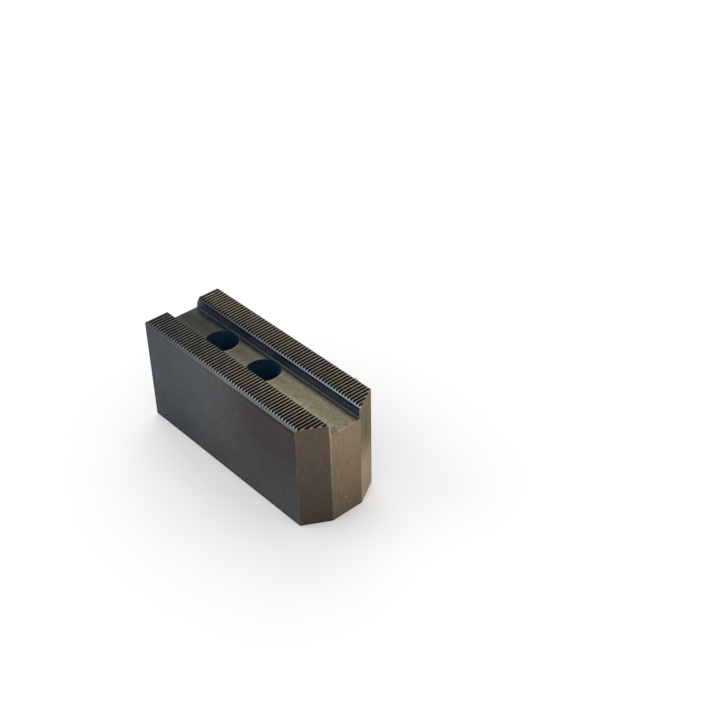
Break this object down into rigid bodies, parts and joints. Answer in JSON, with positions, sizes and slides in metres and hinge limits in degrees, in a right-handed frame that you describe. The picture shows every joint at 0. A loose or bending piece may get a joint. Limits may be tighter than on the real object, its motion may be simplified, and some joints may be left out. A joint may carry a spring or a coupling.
{
  "type": "machinable soft jaw",
  "caption": "Machinable steel soft jaw with a serrated mounting face, a key slot and counterbored screw holes, bolted to a lathe chuck's master jaw and bored to suit the work.",
  "frame": {"origin": "centre of the bounding box of the clamping-side face, the plain face with the head counterbores, which the jaw rests on", "axes": "+X along the jaw towards its nose and the chuck centre, +Y across the jaw, +Z from the clamping side up to the serrated mounting face"},
  "size_m": [0.095, 0.035, 0.045],
  "materials": {
    "machined_steel": "milled and ground bare steel with a light film of oil"
  },
  "bodies": {
    "root": {"soft_jaw": "machined_steel"}
  },
  "joints": []
}
